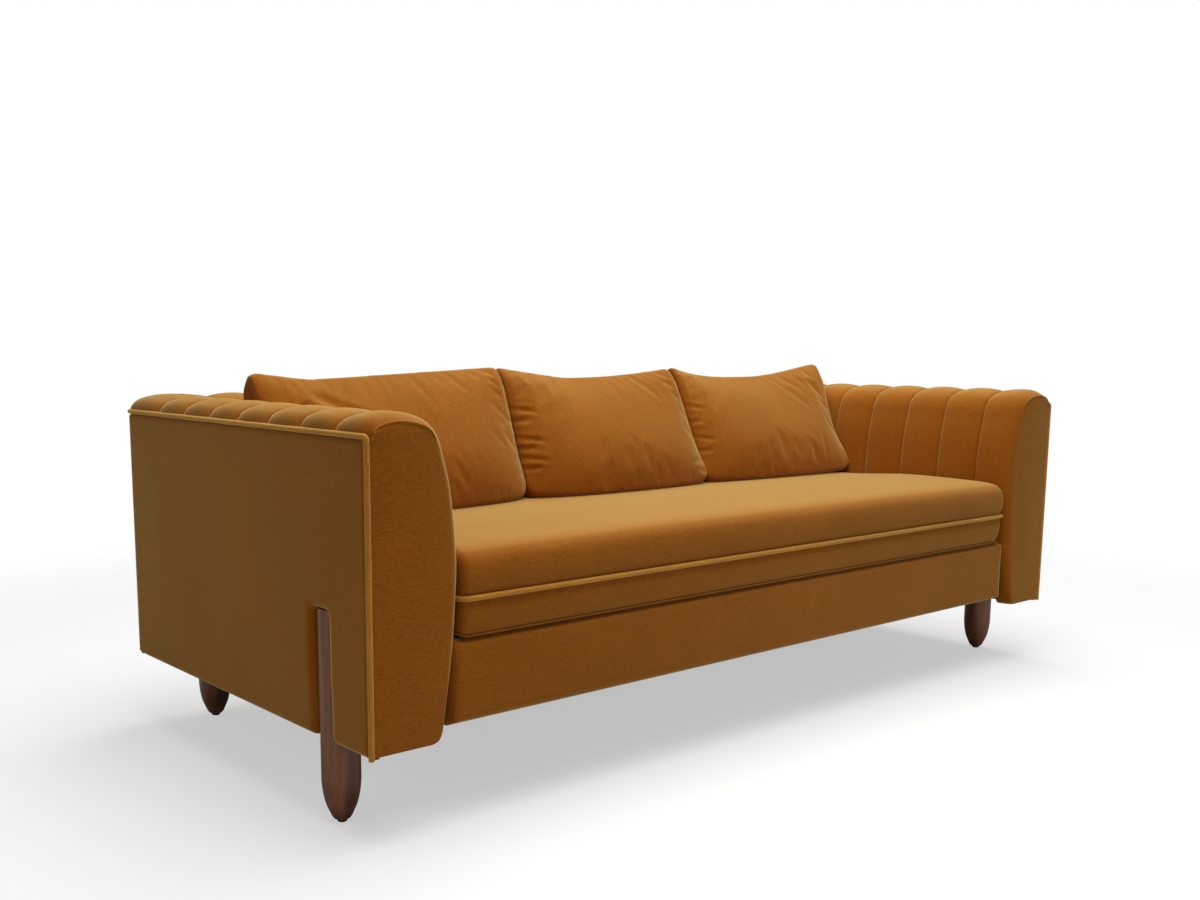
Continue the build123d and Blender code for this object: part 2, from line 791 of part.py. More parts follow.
def back_cushions():
    width = (2 * seat_half - (back_count - 1) * back_gap) / back_count
    steps = [cos(pi * i / back_sections) for i in range(back_sections + 1)]

    def form(fit):
        return Solid.make_loft([back_wire(-width / 2 * step, abs(step), fit) for step in steps], ruled=True)

    middle_y = (in_from_rear(back_foot) + seat_rear) / 2 + back_zip_setback
    cover, insert = cover_and_insert(form, (0, middle_y, back_bottom + back_core_height))
    zip_place = Pos(0, middle_y, back_bottom + zip_groove) * Rot(180, 0, 0)
    cover -= zip_place * zip_room(back_zip_length)
    for name, place in zip(("left", "centre", "right"), (-1, 0, 1)):
        shift = Pos(place * (width + back_gap), 0, 0)
        add(name + "_back_cushion_cover", shift * cover)
        add(name + "_back_cushion_insert", shift * insert)
        add(name + "_back_cushion_zip", shift * zip_place * zip_tape_solid(back_zip_length))
        add(name + "_back_cushion_zip_slider", shift * zip_place * zip_slider(back_zip_length))


def write_parts():
    os.makedirs("parts", exist_ok=True)
    for name, pieces in nodes.items():
        solids = [solid for piece in pieces for solid in piece.solids()]
        export_step(solids[0] if len(solids) == 1 else Compound(solids), f"parts/{name}.step")


upholster_frame()
arm_frame()
back_frame()
seat_base()
suspension()
legs()
seat_cushion()
back_cushions()
write_parts()
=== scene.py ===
import json
import math
from contextlib import contextmanager

import bmesh
import bpy
from mathutils import Matrix, Vector, noise


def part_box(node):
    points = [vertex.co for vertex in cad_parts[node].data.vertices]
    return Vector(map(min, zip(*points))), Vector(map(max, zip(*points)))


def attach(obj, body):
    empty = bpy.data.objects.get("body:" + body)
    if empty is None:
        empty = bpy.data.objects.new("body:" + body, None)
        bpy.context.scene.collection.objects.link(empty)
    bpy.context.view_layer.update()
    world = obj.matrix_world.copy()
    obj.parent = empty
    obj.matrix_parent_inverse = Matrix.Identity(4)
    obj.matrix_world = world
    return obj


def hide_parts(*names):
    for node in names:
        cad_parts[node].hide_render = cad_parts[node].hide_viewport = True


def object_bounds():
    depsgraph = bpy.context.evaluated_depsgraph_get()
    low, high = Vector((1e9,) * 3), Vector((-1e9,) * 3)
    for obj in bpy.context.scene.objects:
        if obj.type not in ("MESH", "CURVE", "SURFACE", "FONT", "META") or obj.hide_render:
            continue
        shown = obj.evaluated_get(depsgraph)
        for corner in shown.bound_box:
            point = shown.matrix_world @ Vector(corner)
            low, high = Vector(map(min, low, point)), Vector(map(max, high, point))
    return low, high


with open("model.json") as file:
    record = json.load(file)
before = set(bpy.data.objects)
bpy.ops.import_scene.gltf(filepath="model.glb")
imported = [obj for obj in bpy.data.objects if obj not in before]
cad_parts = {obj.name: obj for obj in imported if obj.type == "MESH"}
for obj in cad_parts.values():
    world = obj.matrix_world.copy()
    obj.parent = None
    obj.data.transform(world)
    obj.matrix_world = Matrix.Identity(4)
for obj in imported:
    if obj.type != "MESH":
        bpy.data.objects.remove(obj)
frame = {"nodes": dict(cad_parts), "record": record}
cad_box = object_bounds()

# Places in the frame, in metres
welt_proud = 0.003
welt_radius = 0.005
side_x = cad_box[1][0] - welt_proud
front_y = cad_box[0][1] + welt_proud
rear_y = cad_box[1][1] - welt_proud
body_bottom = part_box("right_outer_arm_panel")[0][2]
edge_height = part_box("outside_welt")[1][2] - welt_proud
arm_length = rear_y - front_y
back_length = 2 * side_x

# Padding line of the arms and back at their sewn seams: (distance in from the outside face, height)
pad_line = [(0.006, 0.690), (0.024, 0.704), (0.062, 0.712), (0.110, 0.704), (0.136, 0.684), (0.150, 0.645),
            (0.164, 0.585), (0.174, 0.480), (0.171, 0.395), (0.165, 0.322)]
front_line = pad_line + [(0.158, 0.250), (0.150, 0.192), (0.146, 0.174), (0.138, 0.162), (0.124, 0.157),
                         (0.100, 0.157), (0.055, 0.157), (0.012, 0.157)]

# Channels of the arms and back
channel_swell = 0.016
seam_lift = 0.006
channel_pitch = 0.117
corner_overrun = 0.016
pucker_depth = 0.0022
crease_depth = 0.003
first_arm_seam = 0.104
arm_seam_count = 7
back_seam_margin = 0.155
back_channel_count = 16
arm_seams = [first_arm_seam + channel_pitch * i for i in range(arm_seam_count)]
back_seams = [back_seam_margin + (back_length - 2 * back_seam_margin) * i / back_channel_count
              for i in range(back_channel_count + 1)]

# Arm fronts and covered panels
front_roll = 0.042
side_roll = 0.026
foot_roll = 0.005
lip_radius = 0.0022
panel_step = 0.0075
panel_margin = 0.004
panel_round = 0.007
panel_bulge = 0.003
rail_round = 0.018
rail_bulge = 0.004
slot_round = 0.013
slot_half_width = 0.0285
slot_clearance = 0.001
slot_corner = 0.012
weld_distance = 0.00005

# Cushions: their sewing, and the cloth that fills out the back cushions
seam_radius = 0.0016
seam_hold = 0.009
cushion_voxel = 0.006
cloth_frames = 20
cloth_fullness = 0.004
cloth_reach = 0.015

# The form of each back cushion, as back_cushion takes it
back_cushion_forms = {
    "left": {"dip": (-0.67, 0.015), "rises": ((0.016, 1.5), (0.023, 1.0)), "rounds": (0.012, 0.012),
             "ears": (0.055, 0.0), "tucks": (0.030, 0.064)},
    "centre": {"dip": (-0.25, 0.010), "rises": ((0.027, 1.1), (0.022, 2.0)), "rounds": (0.010, 0.022),
               "ears": (0.0, 0.0), "tucks": (0.060, 0.030)},
    "right": {"dip": (0.02, 0.006), "rises": ((0.030, 3.2), (0.035, 1.8)), "rounds": (0.010, 0.008),
              "ears": (0.0, 0.030), "tucks": (0.040, 0.012)},
}

# Camera
photo_width = 1200
photo_height = 900
focal_pixels = 1249.7
principal_point = (556.4, 539.2)
camera_place = (-2.1142, -2.1727, 0.8325)
camera_azimuth = 40.51
camera_pitch = -8.76
camera_roll = 0.34

# Soft lamps: name, place, target, size and watts
lamps = [
    ("overhead", (0.2, -0.2, 3.4), (0.0, 0.0, 0.4), (4.4, 2.8), 175.0),
    ("front_fill", (0.6, -4.6, 1.5), (0.0, 0.0, 0.4), (2.5, 1.5), 18.0),
    ("left_fill", (-4.6, -1.2, 2.2), (0.0, 0.0, 0.5), (2.5, 2.5), 19.0),
]


# Materials


def new_material(name):
    material = bpy.data.materials.new(name)
    material.use_nodes = True
    tree = material.node_tree
    return material, tree, tree.nodes["Principled BSDF"]


def node(tree, kind, inputs=None, **settings):
    made = tree.nodes.new(kind)
    for key, value in settings.items():
        setattr(made, key, value)
    for key, value in (inputs or {}).items():
        made.inputs[key].default_value = value
    return made


def stretched_noise(tree, stretch, scale, detail):
    """Object-space noise, stretched by axis."""
    place = node(tree, "ShaderNodeTexCoord")
    mapping = node(tree, "ShaderNodeMapping", {"Scale": stretch})
    texture = node(tree, "ShaderNodeTexNoise", {"Scale": scale, "Detail": detail})
    tree.links.new(place.outputs["Object"], mapping.inputs["Vector"])
    tree.links.new(mapping.outputs["Vector"], texture.inputs["Vector"])
    return texture.outputs["Fac"]


def colour_ramp(tree, factor, stops):
    ramp = node(tree, "ShaderNodeValToRGB")
    ramp.color_ramp.elements[0].position = stops[0][0]
    ramp.color_ramp.elements[0].color = (*stops[0][1], 1)
    ramp.color_ramp.elements[1].position = stops[-1][0]
    ramp.color_ramp.elements[1].color = (*stops[-1][1], 1)
    for position, colour in stops[1:-1]:
        ramp.color_ramp.elements.new(position).color = (*colour, 1)
    tree.links.new(factor, ramp.inputs["Fac"])
    return ramp.outputs["Color"]


def mixed(tree, first, second, blend_type, factor):
    mix = node(tree, "ShaderNodeMix", data_type="RGBA", blend_type=blend_type)
    mix.inputs["Factor"].default_value = factor
    tree.links.new(first, mix.inputs["A"])
    tree.links.new(second, mix.inputs["B"])
    return mix.outputs["Result"]


def calculated(tree, operation, first, second):
    """A Math node of two operands, each a socket or a number."""
    made = node(tree, "ShaderNodeMath", operation=operation)
    for socket, operand in zip(made.inputs, (first, second)):
        if isinstance(operand, float):
            socket.default_value = operand
        else:
            tree.links.new(operand, socket)
    return made.outputs[0]


def blended(tree, factor, first, second):
    """Two shaders, mixed by a factor socket."""
    mix = node(tree, "ShaderNodeMixShader")
    for socket, feed in zip(mix.inputs, (factor, first, second)):
        tree.links.new(feed, socket)
    return mix.outputs["Shader"]


def bumped(tree, shader, height, strength, distance):
    bump = node(tree, "ShaderNodeBump", {"Strength": strength, "Distance": distance})
    tree.links.new(height, bump.inputs["Height"])
    tree.links.new(bump.outputs["Normal"], shader.inputs["Normal"])


def painted_sheen(tree, colour, rim):
    """Painted sheen: the base colour turns pale gold where the surface turns away from the view."""
    turn = node(tree, "ShaderNodeLayerWeight", {"Blend": 0.5})
    steep = calculated(tree, "POWER", turn.outputs["Facing"], 2.0)
    mix = node(tree, "ShaderNodeMix", data_type="RGBA")
    mix.inputs["B"].default_value = (*rim, 1)
    tree.links.new(steep, mix.inputs["Factor"])
    tree.links.new(colour, mix.inputs["A"])
    return mix.outputs["Result"]


def velvet(name, dark, mid, light, rim):
    """Pile fabric: faint drifts of nap, fine weft streaks, and a painted golden sheen where it turns away."""
    material, tree, shader = new_material(name)
    drift = stretched_noise(tree, (1.0, 1.0, 0.6), 5.0, 3.0)
    weft = stretched_noise(tree, (9.0, 110.0, 110.0), 8.0, 3.0)
    cross_weft = stretched_noise(tree, (110.0, 9.0, 110.0), 8.0, 3.0)
    pile = stretched_noise(tree, (1.0, 1.0, 1.0), 900.0, 2.0)
    tone = colour_ramp(tree, drift, [(0.3, dark), (0.52, mid), (0.74, light)])
    streaks = colour_ramp(tree, weft, [(0.34, (0.68, 0.68, 0.68)), (0.66, (1.27, 1.27, 1.27))])
    cross_streaks = colour_ramp(tree, cross_weft,
                                [(0.34, (0.72, 0.72, 0.72)), (0.66, (1.23, 1.23, 1.23))])
    fibres = colour_ramp(tree, pile, [(0.3, (0.86, 0.86, 0.86)), (0.7, (1.1, 1.1, 1.1))])
    colour = mixed(tree, mixed(tree, tone, streaks, "MULTIPLY", 0.7), cross_streaks, "MULTIPLY", 0.7)
    colour = mixed(tree, colour, fibres, "MULTIPLY", 0.5)
    # Painted sheen: the base colour is mixed towards the rim colour where the surface turns from the view.
    tree.links.new(painted_sheen(tree, colour, rim), shader.inputs["Base Color"])
    shader.inputs["Roughness"].default_value = 0.95
    shader.inputs["Specular IOR Level"].default_value = 0.1
    shader.inputs["Sheen Weight"].default_value = 0.45
    shader.inputs["Sheen Roughness"].default_value = 0.29
    shader.inputs["Sheen Tint"].default_value = (1.0, 0.92, 0.44, 1)
    bumped(tree, shader, pile, 0.25, 0.0006)
    return material


def timber(name, dark, light, grain_axis, roughness):
    """Wood with long grain along one axis and fine pores."""
    material, tree, shader = new_material(name)
    along = [14.0, 14.0, 14.0]
    along[grain_axis] = 0.9
    pores_along = [160.0, 160.0, 160.0]
    pores_along[grain_axis] = 5.0
    grain = stretched_noise(tree, tuple(along), 3.0, 6.0)
    pores = stretched_noise(tree, tuple(pores_along), 2.5, 3.0)
    figure = colour_ramp(tree, grain, [(0.32, dark), (0.68, light)])
    flecks = colour_ramp(tree, pores, [(0.36, (0.55, 0.55, 0.55)), (0.52, (1.0, 1.0, 1.0))])
    tree.links.new(mixed(tree, figure, flecks, "MULTIPLY", 0.7), shader.inputs["Base Color"])
    shader.inputs["Roughness"].default_value = roughness
    bumped(tree, shader, pores, 0.15, 0.0005)
    return material


def plain_cloth(name, dark, light, thread_scale):
    material, tree, shader = new_material(name)
    threads = stretched_noise(tree, (1.0, 1.0, 1.0), thread_scale, 2.0)
    tree.links.new(colour_ramp(tree, threads, [(0.3, dark), (0.7, light)]), shader.inputs["Base Color"])
    shader.inputs["Roughness"].default_value = 0.95
    bumped(tree, shader, threads, 0.3, 0.0005)
    return material


def metal(name, dark, light, roughness):
    material, tree, shader = new_material(name)
    brushing = stretched_noise(tree, (40.0, 40.0, 400.0), 3.0, 3.0)
    tree.links.new(colour_ramp(tree, brushing, [(0.3, dark), (0.7, light)]), shader.inputs["Base Color"])
    shader.inputs["Metallic"].default_value = 1.0
    shader.inputs["Roughness"].default_value = roughness
    bumped(tree, shader, brushing, 0.1, 0.0003)
    return material


materials = {
    # The last colour of each velvet is the rim colour of its painted sheen.
    "velvet": velvet("velvet", (0.260, 0.075, 0.004), (0.285, 0.084, 0.005), (0.310, 0.094, 0.006),
                     (0.415, 0.228, 0.057)),
    # The welt is a lighter copy of the velvet: its paler colours and rim are a painted highlight on the
    # cord's small radius.
    "welt": velvet("welt", (0.42, 0.165, 0.020), (0.48, 0.198, 0.027), (0.54, 0.230, 0.034),
                   (0.60, 0.360, 0.100)),
    "leg_wood": timber("leg_wood", (0.060, 0.020, 0.008), (0.270, 0.093, 0.030), 2, 0.42),
    "frame_wood": timber("frame_wood", (0.36, 0.23, 0.12), (0.52, 0.37, 0.21), 0, 0.7),
    "steel": metal("steel", (0.32, 0.32, 0.33), (0.55, 0.55, 0.56), 0.35),
    "deck_cloth": plain_cloth("deck_cloth", (0.16, 0.085, 0.03), (0.24, 0.13, 0.05), 700.0),
    "dust_cloth": plain_cloth("dust_cloth", (0.008, 0.008, 0.008), (0.02, 0.02, 0.02), 500.0),
    "filling": plain_cloth("filling", (0.62, 0.58, 0.50), (0.76, 0.72, 0.64), 600.0),
    "zip_tape": plain_cloth("zip_tape", (0.10, 0.045, 0.012), (0.15, 0.07, 0.02), 900.0),
    "zip_metal": metal("zip_metal", (0.36, 0.25, 0.10), (0.55, 0.40, 0.18), 0.4),
    "glide": plain_cloth("glide", (0.012, 0.012, 0.012), (0.025, 0.025, 0.025), 300.0),
}


def dress_cad_nodes():
    """Every carried-over node takes the material of its record slot."""
    for part in frame["record"]["subparts"]:
        mesh = frame["nodes"][part["node"]].data
        mesh.materials.clear()
        mesh.materials.append(materials[part["material_slot"]])


# Mesh helpers


def mesh_piece(name, points, faces, slot, body, replaced=()):
    """A smooth mesh object that rides on a body and takes a slot's material."""
    mesh = bpy.data.meshes.new(name)
    mesh.from_pydata([tuple(p) for p in points], [], faces)
    piece = bpy.data.objects.new(name, mesh)
    bpy.context.scene.collection.objects.link(piece)
    clean_mesh(mesh)
    finish_piece(piece, slot, body, replaced)
    return piece


@contextmanager
def edited(mesh):
    """A mesh's geometry to work on, written back at the end."""
    shape = bmesh.new()
    shape.from_mesh(mesh)
    yield shape
    shape.to_mesh(mesh)
    shape.free()


def clean_mesh(mesh):
    with edited(mesh) as shape:
        bmesh.ops.remove_doubles(shape, verts=shape.verts, dist=weld_distance)
        bmesh.ops.dissolve_degenerate(shape, edges=shape.edges, dist=weld_distance)
        for face in shape.faces:
            face.smooth = True


def finish_piece(piece, slot, body, replaced):
    piece.data.materials.clear()
    piece.data.materials.append(materials[slot])
    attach(piece, body)
    if replaced:
        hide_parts(*replaced)


def grid_faces(rows, columns, flip=False):
    faces = []
    for r in range(rows - 1):
        for c in range(columns - 1):
            corner = r * columns + c
            quad = (corner, corner + 1, corner + columns + 1, corner + columns)
            faces.append(quad[::-1] if flip else quad)
    return faces


def curve_point(controls, t):
    """A point of the Catmull-Rom curve between the middle two of four controls."""
    p0, p1, p2, p3 = (Vector(p) for p in controls)
    return 0.5 * (2 * p1 + (p2 - p0) * t + (2 * p0 - 5 * p1 + 4 * p2 - p3) * t ** 2
                  + (3 * p1 - p0 - 3 * p2 + p3) * t ** 3)


def smooth_line(points, count):
    """Points along a Catmull-Rom curve through the given (a, b) pairs."""
    ends = [points[0], *points, points[-1]]
    line = []
    for i in range(count):
        place = (len(points) - 1) * i / (count - 1)
        k = min(int(place), len(points) - 2)
        line.append(curve_point(ends[k:k + 4], place - k))
    return line


def outward(line, i):
    """The direction out of the padding at a sample of its line."""
    along = line[min(i + 1, len(line) - 1)] - line[max(i - 1, 0)]
    return Vector((-along[1], along[0])).normalized()


def soft_step(low, high, value):
    t = min(max((value - low) / (high - low), 0.0), 1.0)
    return t * t * (3 - 2 * t)


def corner_inset(distance, radius):
    """How far a rounded edge draws in at a distance from the end."""
    if distance >= radius:
        return 0.0
    return radius - math.sqrt(radius ** 2 - (radius - distance) ** 2)


# Channelled arms and back


def channel_puff(distance, seams, end):
    """How full the padding is between its seams, from 0 on a seam to 1 between two."""
    stops = [-corner_overrun, *seams, end + corner_overrun]
    for low, high in zip(stops, stops[1:]):
        if low <= distance <= high:
            across = 2 * (distance - low) / (high - low) - 1
            return max(1 - across * across, 0.0) ** 0.62
    return 1.0


def channel_stations(start, end, seams):
    """Distances along a run, close together beside the seams."""
    stops = [start, *[s for s in seams if start < s < end], end]
    steps = 14
    distances = []
    for low, high in zip(stops, stops[1:]):
        distances += [low + (high - low) * (1 - math.cos(math.pi * i / steps)) / 2 for i in range(steps)]
    return distances + [end]


def channel_rise(puff):
    """How far the padding stands above its line, from its seams to its crests."""
    return seam_lift + (channel_swell - seam_lift) * puff


def pad_point(line, i, puff, distance):
    """A point of the padding's section, swollen by its puff and puckered along its seams."""
    point = line[i]
    share = i / (len(line) - 1)
    swell = channel_rise(puff) * soft_step(-0.06, 0.12, share)
    wobble = noise.noise(Vector((distance * 9, point[0] * 60, point[1] * 60)))
    pucker = pucker_depth * wobble * (1 - puff) * soft_step(0.02, 0.1, share)
    crease = crease_depth * soft_step(0.72, 1.0, 1 - puff) * soft_step(0.0, 0.08, share)
    return point + outward(line, i) * (swell + pucker - crease)


def channelled_run(name, start, length, seams, place, both_mitres, flip, replaced):
    line = smooth_line(pad_line, 54)
    distances = channel_stations(start, length, seams)
    points = []
    for distance in distances:
        puff = channel_puff(distance, seams, length)
        for i in range(len(line)):
            u, z = pad_point(line, i, puff, distance)
            run = min(distance, length - u)
            if both_mitres:
                run = max(run, u)
            points.append(place(u, run, z))
    faces = grid_faces(len(distances), len(line), flip)
    mesh_piece(name, points, faces, "velvet", "frame", replaced)


def arm_place(sign):
    return lambda u, run, z: (sign * (side_x - u), front_y + run, z)


def back_place(u, run, z):
    return (run - side_x, rear_y - u, z)


def arm_front(name, sign, replaced):
    """The arm's front panel: seamed along its top, and rolled round into the inside of the arm."""
    line = smooth_line(front_line, 96)
    roll_steps = 12
    panel_steps = 14
    place = arm_place(sign)
    points = []
    lip = []
    for i, (u, z) in enumerate(line):
        share = i / (len(line) - 1)
        top = 1 - soft_step(0.18, 0.34, share)
        foot = 1 - soft_step(0.16, 0.34, z)
        rise = channel_rise(channel_puff(front_roll, arm_seams, arm_length))
        crest = line[i] + outward(line, i) * rise * soft_step(-0.05, 0.07, share) * (1 - foot)
        depth = top * channel_swell + (1 - top) * (side_roll * (1 - foot) + foot_roll * foot)
        for step in range(roll_steps):
            x = math.sin(math.pi / 2 * step / (roll_steps - 1))
            drop = (1 - top) * (1 - math.sqrt(1 - x * x)) + top * x ** 2.4
            inset = crest - outward(line, i) * depth * drop
            points.append(place(inset[0], front_roll * (1 - x), inset[1]))
        edge = inset
        if top > 0.02 and u > 0.012:
            lip.append(Vector(place(edge[0], 0.004 * (1 - top), edge[1])))
        outer_height = min(edge[1], 0.664 + 0.024 * (1 - soft_step(0.0, 0.3, share)))
        outer = Vector((0.006, max(outer_height, body_bottom + 0.004)))
        for step in range(1, panel_steps):
            w = step / (panel_steps - 1)
            at = edge.lerp(outer, w)
            pillow = 0.003 * math.sin(math.pi * w) * (1 - foot)
            points.append(place(at[0], -pillow, at[1]))
    cord_piece(name + "_seam", lip, lip_radius, "frame", finish="velvet")
    faces = grid_faces(len(line), roll_steps + panel_steps - 1, sign > 0)
    mesh_piece(name, points, faces, "velvet", "frame", replaced)


def arms():
    for side, sign in (("left", -1), ("right", 1)):
        channelled_run(side + "_arm_channels", front_roll, arm_length, arm_seams, arm_place(sign),
                       False, sign < 0, [side + "_arm_channel_pad"])
        arm_front(side + "_arm_front", sign, [side + "_arm_facing"])


def back():
    channelled_run("back_channels", 0.0, back_length, back_seams, back_place,
                   True, True, ["back_channel_pad"])


# Covered panels


def rounded_slot(y, z, centre, half_width, top, corner):
    """Distance outside a slot that is open below; negative inside it."""
    dy = abs(y - centre) - (half_width - corner)
    dz = z - (top - corner)
    if dz > 0 and dy > 0:
        return math.hypot(dy, dz) - corner
    return max(dy, dz) - corner


def slot_edge(y, z, centre, half_width, top, corner):
    """The nearest point on the slot's outline to a point just inside it."""
    side = 1 if y > centre else -1
    dy = abs(y - centre) - (half_width - corner)
    dz = z - (top - corner)
    if dz > 0 and dy > 0:
        out = Vector((dy, dz)).normalized() * corner
        return centre + side * (half_width - corner + out[0]), top - corner + out[1]
    if dz > dy:
        return y, top
    return centre + side * half_width, z


def covered_panel(name, width, height, place, edge_round, bulge, skirt, slot_shape, flip, replaced,
                  slot="velvet"):
    """A padded flat panel whose edges roll in; place maps (across, up, out) to the frame."""
    columns = round((width[1] - width[0]) / panel_step) + 1
    rows = round((height[1] - height[0]) / panel_step) + 1
    points = []
    keep = {}
    for r in range(rows):
        for c in range(columns):
            a = width[0] + (width[1] - width[0]) * c / (columns - 1)
            b = height[0] + (height[1] - height[0]) * r / (rows - 1)
            inside = min(a - width[0], width[1] - a, b - height[0], height[1] - b)
            out = -corner_inset(inside, edge_round) + bulge * soft_step(0.0, 0.16, inside)
            if slot_shape:
                gap = rounded_slot(a, b, *slot_shape)
                if gap < -panel_step:
                    continue
                if gap < 0:
                    a, b = slot_edge(a, b, *slot_shape)
                out -= corner_inset(max(gap, 0.0), slot_round)
            keep[(r, c)] = len(points)
            points.append(place(a, b, out))
    faces = []
    for r in range(rows - 1):
        for c in range(columns - 1):
            corners = [(r, c), (r, c + 1), (r + 1, c + 1), (r + 1, c)]
            if all(corner in keep for corner in corners):
                quad = [keep[corner] for corner in corners]
                faces.append(quad[::-1] if flip else quad)
    piece = mesh_piece(name, points, faces, slot, "frame", replaced)
    add_skirt(piece.data, Vector(place(0, 0, -skirt)) - Vector(place(0, 0, 0)))


def add_skirt(mesh, depth):
    """Turns the free edges of a panel back behind it."""
    with edited(mesh) as shape:
        rim = [edge for edge in shape.edges if edge.is_boundary]
        grown = bmesh.ops.extrude_edge_only(shape, edges=rim)
        fresh = [item for item in grown["geom"] if isinstance(item, bmesh.types.BMVert)]
        bmesh.ops.translate(shape, vec=depth, verts=fresh)
        for face in shape.faces:
            face.smooth = True
        bmesh.ops.recalc_face_normals(shape, faces=shape.faces)


def panels():
    slot_low, slot_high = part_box("front_right_leg")
    slot_centre = (slot_low[1] + slot_high[1]) / 2
    slot_shape = (slot_centre, slot_half_width, slot_high[2] + slot_clearance, slot_corner)
    top = edge_height - panel_margin
    for side, sign in (("left", -1), ("right", 1)):
        covered_panel(side + "_arm_outside", (front_y + panel_margin, rear_y), (body_bottom, top),
                      lambda a, b, out, sign=sign: (sign * (side_x + out), a, b),
                      panel_round, panel_bulge, 0.012, slot_shape, sign < 0, [side + "_outer_arm_panel"])
    covered_panel("back_outside", (-side_x + panel_margin, side_x - panel_margin), (body_bottom, top),
                  lambda a, b, out: (a, rear_y + out, b),
                  panel_round, panel_bulge, 0.008, None, True, ["back_outer_panel"])
    low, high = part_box("front_rail_pad")
    covered_panel("front_rail_cover", (low[0], high[0]), (low[2], high[2]),
                  lambda a, b, out: (a, low[1] - out, b),
                  rail_round, rail_bulge, 0.012, None, False, ["front_rail_pad"])


def deck():
    low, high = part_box("deck_pad")
    covered_panel("deck_cover", (low[0], high[0]), (low[1], high[1]), lambda a, b, out: (a, b, high[2] + out),
                  0.005, 0.0, 0.005, None, False, ["deck_pad"], "deck_cloth")


def dust_sheet():
    """The thin cloth tacked under the seat base, sagging a little."""
    low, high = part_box("dust_sheet")
    columns, rows, sag = 60, 28, 0.007
    points = []
    for r in range(rows + 1):
        for c in range(columns + 1):
            dip = sag * math.sin(math.pi * r / rows) * abs(math.sin(math.pi * 3 * c / columns)) ** 0.7
            points.append((low[0] + (high[0] - low[0]) * c / columns, low[1] + (high[1] - low[1]) * r / rows,
                           high[2] - 0.0005 - dip))
    piece = mesh_piece("dust_cover", points, grid_faces(rows + 1, columns + 1, True), "dust_cloth",
                       "frame", ["dust_sheet"])


# Welt cords


def cord_piece(name, route, radius, body, replaced=(), finish="welt"):
    """A welt cord along a polyline with rounded corners, as a mesh tube."""
    curve = bpy.data.curves.new(name + "_line", "CURVE")
    curve.dimensions = "3D"
    curve.bevel_depth = radius
    curve.bevel_resolution = 4
    spline = curve.splines.new("POLY")
    spline.points.add(len(route) - 1)
    for point, place in zip(spline.points, route):
        point.co = (*place, 1)
    maker = bpy.data.objects.new(name + "_line", curve)
    mesh = bpy.data.meshes.new_from_object(maker)
    bpy.data.objects.remove(maker)
    piece = bpy.data.objects.new(name, mesh)
    bpy.context.scene.collection.objects.link(piece)
    clean_mesh(mesh)
    finish_piece(piece, "velvet", body, replaced)
    # The default welt finish is the lighter copy of the velvet, a painted highlight.
    mesh.materials[0] = materials[finish]


def rounded_route(corners, radius, spacing):
    """A polyline through corners, each rounded, with points no further apart than a spacing."""
    route = [Vector(corners[0])]
    for before, corner, after in zip(corners, corners[1:], corners[2:]):
        before, corner, after = Vector(before), Vector(corner), Vector(after)
        start = corner + (before - corner).normalized() * radius
        end = corner + (after - corner).normalized() * radius
        for i in range(7):
            t = i / 6
            route.append(start * (1 - t) ** 2 + corner * 2 * t * (1 - t) + end * t ** 2)
    route.append(Vector(corners[-1]))
    fine = [route[0]]
    for a, b in zip(route, route[1:]):
        steps = max(1, round((b - a).length / spacing))
        fine += [a.lerp(b, i / steps) for i in range(1, steps + 1)]
    return fine


def welts():
    inset = 0.002
    x, low, high = side_x - inset, front_y + inset, rear_y - inset
    top = edge_height - inset
    corners = [(-x, low, body_bottom), (-x, low, top), (-x, high, top), (x, high, top), (x, low, top),
               (x, low, body_bottom)]
    route = rounded_route(corners, 0.008, 0.02)
    # The cord takes the lighter welt finish, a painted highlight.
    cord_piece("outside_welt_cord", route, welt_radius, "frame", ["outside_welt"])


# Cushions


def lofted_cushion(name, sections, slot, body, replaced):
    """A closed form through rings of points, with each end drawn together."""
    count = len(sections[0])
    points = [p for ring in sections for p in ring]
    faces = []
    for r in range(len(sections) - 1):
        for c in range(count):
            a = r * count + c
            b = r * count + (c + 1) % count
            faces.append((a, b, b + count, a + count))
    for ring, start in ((sections[0], 0), (sections[-1], (len(sections) - 1) * count)):
        points.append(sum((Vector(p) for p in ring), Vector()) / count)
        hub = len(points) - 1
        faces += [(start + c, start + (c + 1) % count, hub) for c in range(count)]
    piece = mesh_piece(name, points, faces, slot, body, replaced)
    with edited(piece.data) as shape:
        bmesh.ops.recalc_face_normals(shape, faces=shape.faces)
    return piece


def closed_line(points, count):
    """A smooth closed ring through the given points."""
    total = len(points)
    ring = []
    for i in range(count):
        place = total * i / count
        k = int(place)
        ring.append(curve_point([points[(k + j) % total] for j in (-1, 0, 1, 2)], place - k))
    return ring


def end_draw(share, power):
    """1 along the middle, falling to 0 at the very ends."""
    return max(1 - abs(share) ** power, 0.0) ** (1 / power)


def end_stations(half, radius, inner, outer):
    """Places from end to end of a form, close together round its end corners."""
    straight = [-(half - radius) + 2 * (half - radius) * i / inner for i in range(inner + 1)]
    turn = [half - radius + radius * math.sin(math.pi / 2 * i / outer) for i in range(1, outer + 1)]
    return [-x for x in turn[::-1]] + straight + turn


def apply_modifiers(piece):
    depsgraph = bpy.context.evaluated_depsgraph_get()
    mesh = bpy.data.meshes.new_from_object(piece.evaluated_get(depsgraph))
    piece.modifiers.clear()
    piece.data = mesh
    for face in mesh.polygons:
        face.use_smooth = True


def remeshed(piece, voxel):
    """Gives a piece an even mesh that can wrinkle."""
    remesh = piece.modifiers.new("even", "REMESH")
    remesh.mode = "VOXEL"
    remesh.voxel_size = voxel
    apply_modifiers(piece)


